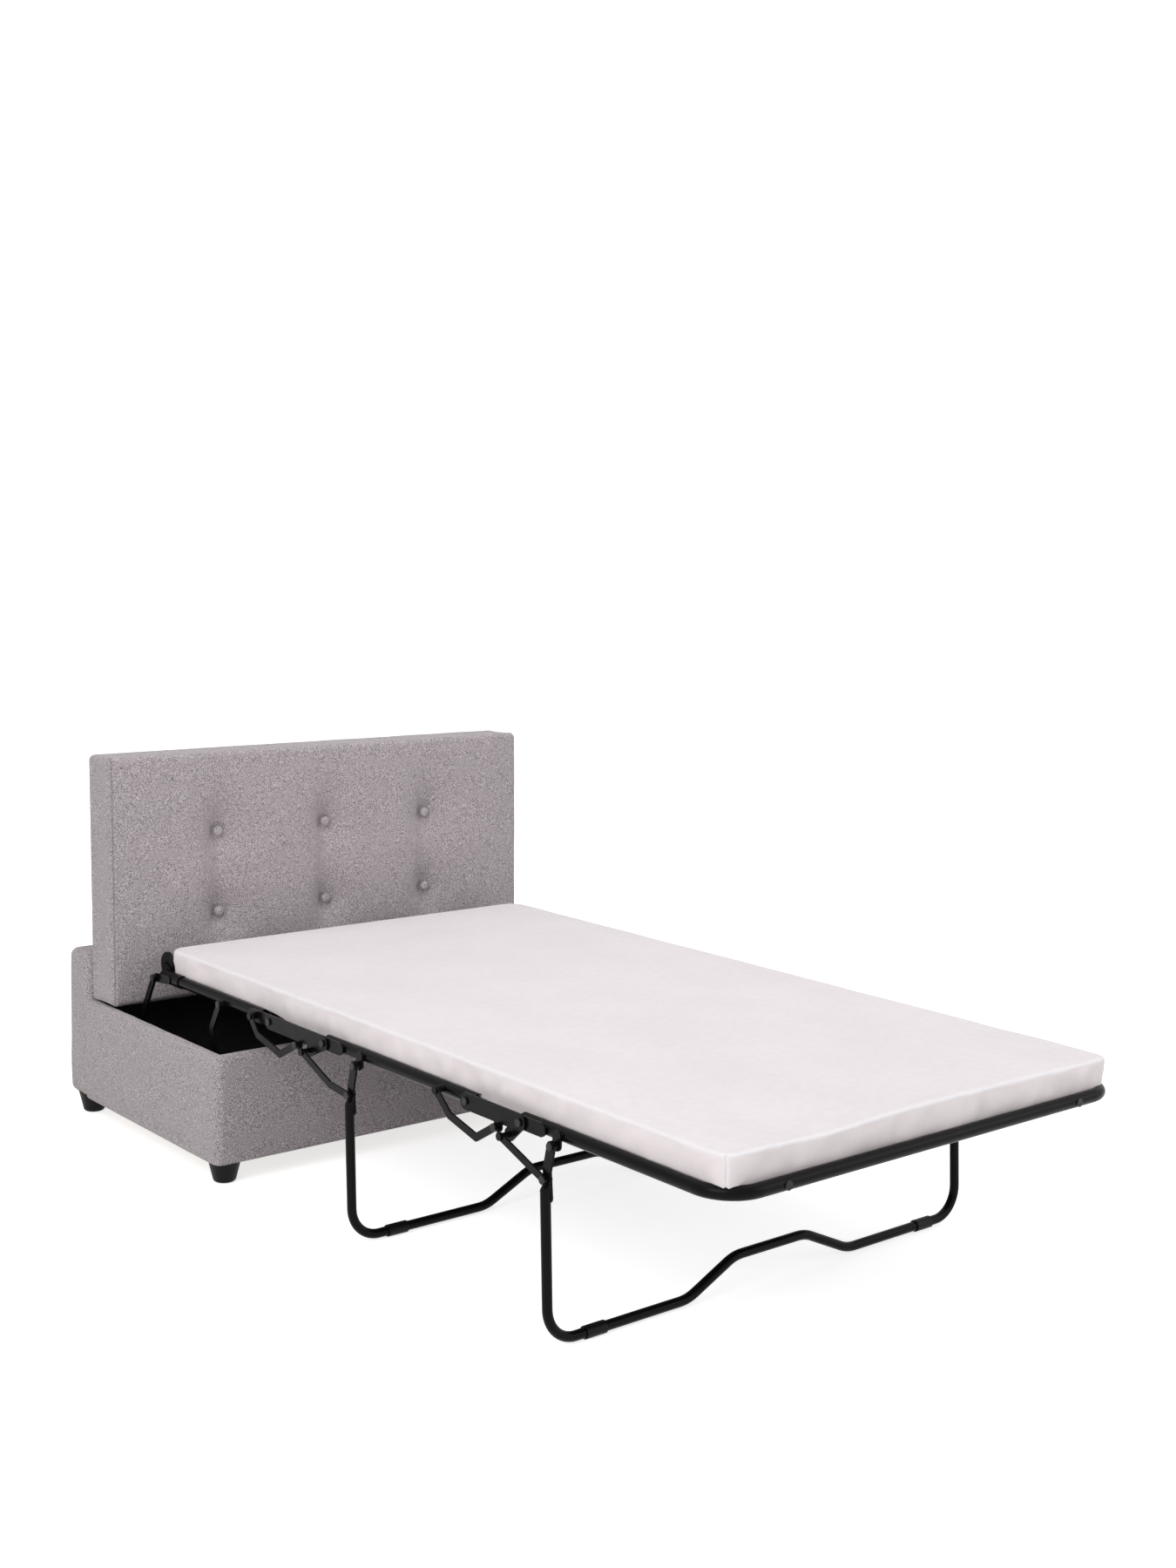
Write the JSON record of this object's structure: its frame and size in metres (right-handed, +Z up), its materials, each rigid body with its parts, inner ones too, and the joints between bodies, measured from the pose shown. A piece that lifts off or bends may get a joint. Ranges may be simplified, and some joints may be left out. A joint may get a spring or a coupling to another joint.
{
  "type": "ottoman bed",
  "caption": "Padded ottoman box whose tufted lid stands as a headboard over a tri-fold steel bed frame with a thin mattress, shown opened out.",
  "frame": {"origin": "on the floor, below the middle of the whole opened bed", "axes": "+X across the bed, +Y towards the headboard, +Z up"},
  "size_m": [1.2, 2.2074, 0.8787],
  "materials": {
    "grey_fabric": "woven",
    "button_fabric": "woven",
    "board_wood": "matte",
    "black_cloth": "woven",
    "foot_plastic": "satin",
    "trim_plastic": "satin",
    "pin_steel": "satin",
    "mattress_cover": "knit",
    "frame_steel": "satin"
  },
  "bodies": {
    "base": {"box_boards": "board_wood", "box_cover": "grey_fabric", "base_floor": "board_wood", "box_lining": "black_cloth", "rear_boards": "board_wood", "rear_cover": "grey_fabric", "feet": "foot_plastic", "arm_bracket_right": "frame_steel", "arm_bracket_left": "frame_steel", "bracket_screws": "pin_steel"},
    "lid": {"lid_board": "board_wood", "lid_pad": "grey_fabric", "lid_buttons": "button_fabric", "lid_dust_cover": "black_cloth"},
    "rear_arms": {"rear_arm_right": "frame_steel", "rear_arm_left": "frame_steel"},
    "front_arms": {"front_arm_right": "frame_steel", "front_arm_left": "frame_steel"},
    "head": {"head_frame": "frame_steel", "head_bracket_right": "frame_steel", "head_bracket_left": "frame_steel", "head_discs": "trim_plastic", "head_deck": "black_cloth", "head_pins": "pin_steel", "mattress_head": "mattress_cover"},
    "plate_a": {"hinge_plate_a_right": "frame_steel", "hinge_plate_a_left": "frame_steel", "plate_a_pins": "pin_steel", "mattress_fold_a": "mattress_cover"},
    "link_a": {"link_a_right": "frame_steel", "link_a_left": "frame_steel"},
    "mid": {"mid_frame": "frame_steel", "mid_deck": "black_cloth", "mid_pins": "pin_steel", "mattress_mid": "mattress_cover"},
    "mid_legs": {"mid_leg_hoop": "frame_steel", "mid_leg_pads": "trim_plastic", "mid_leg_pins": "pin_steel"},
    "brace_a": {"brace_a_right": "frame_steel", "brace_a_left": "frame_steel"},
    "plate_b": {"hinge_plate_b_right": "frame_steel", "hinge_plate_b_left": "frame_steel", "plate_b_pins": "pin_steel", "mattress_fold_b": "mattress_cover"},
    "link_b": {"link_b_right": "frame_steel", "link_b_left": "frame_steel"},
    "foot": {"foot_frame": "frame_steel", "foot_deck": "black_cloth", "foot_pins": "pin_steel", "foot_rail_bolts": "pin_steel", "mattress_foot": "mattress_cover"},
    "foot_legs": {"foot_leg_hoop": "frame_steel", "foot_leg_pads": "trim_plastic", "foot_leg_pins": "pin_steel"},
    "brace_b": {"brace_b_right": "frame_steel", "brace_b_left": "frame_steel"}
  },
  "joints": [
    {"name": "lid_lift", "type": "slide", "parent": "base", "child": "lid", "axis": [0, 0, 1], "range_m": [0, 0.16]},
    {"name": "front_arm_swing", "type": "hinge", "parent": "base", "child": "front_arms", "pos_m": [0, 0.54875, 0.204], "axis": [-1, 0, 0], "range_deg": [0, 12]},
    {"name": "head_level", "type": "hinge", "parent": "front_arms", "child": "head", "pos_m": [0, 0.48875, 0.374], "axis": [-1, 0, 0], "range_deg": [-12, 0]},
    {"name": "rear_arm_swing", "type": "hinge", "parent": "base", "child": "rear_arms", "pos_m": [0, 0.85771, 0.204], "axis": [-1, 0, 0], "range_deg": [0, 12]},
    {"name": "plate_a_fold", "type": "hinge", "parent": "head", "child": "plate_a", "pos_m": [0, 0.27875, 0.378], "axis": [-1, 0, 0], "range_deg": [0, 90], "deforming": ["mattress_fold_a", "mattress_head"]},
    {"name": "link_a_turn", "type": "hinge", "parent": "plate_a", "child": "link_a", "pos_m": [0, 0.15875, 0.356], "axis": [-1, 0, 0], "range_deg": [-29.2, 0]},
    {"name": "mid_fold", "type": "hinge", "parent": "plate_a", "child": "mid", "pos_m": [0, 0.06675, 0.378], "axis": [-1, 0, 0], "range_deg": [0, 90], "deforming": ["mattress_mid"]},
    {"name": "mid_leg_fold", "type": "hinge", "parent": "mid", "child": "mid_legs", "pos_m": [0, -0.06125, 0.362], "axis": [-1, 0, 0], "range_deg": [0, 82]},
    {"name": "brace_a_turn", "type": "hinge", "parent": "mid_legs", "child": "brace_a", "pos_m": [0, -0.05225, 0.302], "axis": [-1, 0, 0], "range_deg": [-67.8, 0]},
    {"name": "plate_b_fold", "type": "hinge", "parent": "mid", "child": "plate_b", "pos_m": [0, -0.42325, 0.378], "axis": [-1, 0, 0], "range_deg": [0, 90], "deforming": ["mattress_fold_b"]},
    {"name": "link_b_turn", "type": "hinge", "parent": "plate_b", "child": "link_b", "pos_m": [0, -0.52125, 0.355], "axis": [-1, 0, 0], "range_deg": [-40.3, 0]},
    {"name": "foot_fold", "type": "hinge", "parent": "plate_b", "child": "foot", "pos_m": [0, -0.58325, 0.378], "axis": [-1, 0, 0], "range_deg": [0, 90], "deforming": ["mattress_foot"]},
    {"name": "foot_leg_fold", "type": "hinge", "parent": "foot", "child": "foot_legs", "pos_m": [0, -0.68325, 0.362], "axis": [-1, 0, 0], "range_deg": [0, 86.6]},
    {"name": "brace_b_turn", "type": "hinge", "parent": "foot_legs", "child": "brace_b", "pos_m": [0, -0.67425, 0.302], "axis": [-1, 0, 0], "range_deg": [-66.1, 0]}
  ],
  "couplings": [
    {"joint": "front_arm_swing", "follows": "plate_a_fold", "ratio": 0.13333},
    {"joint": "head_level", "follows": "plate_a_fold", "ratio": -0.13333},
    {"joint": "rear_arm_swing", "follows": "plate_a_fold", "ratio": 0.13333},
    {"joint": "link_a_turn", "follows": "plate_a_fold", "ratio": -0.32444},
    {"joint": "mid_leg_fold", "follows": "mid_fold", "ratio": 0.91111},
    {"joint": "brace_a_turn", "follows": "mid_fold", "ratio": -0.75333},
    {"joint": "plate_b_fold", "follows": "mid_fold", "ratio": 1},
    {"joint": "link_b_turn", "follows": "mid_fold", "ratio": -0.44778},
    {"joint": "foot_fold", "follows": "mid_fold", "ratio": 1},
    {"joint": "foot_leg_fold", "follows": "mid_fold", "ratio": 0.96222},
    {"joint": "brace_b_turn", "follows": "mid_fold", "ratio": -0.73444}
  ]
}
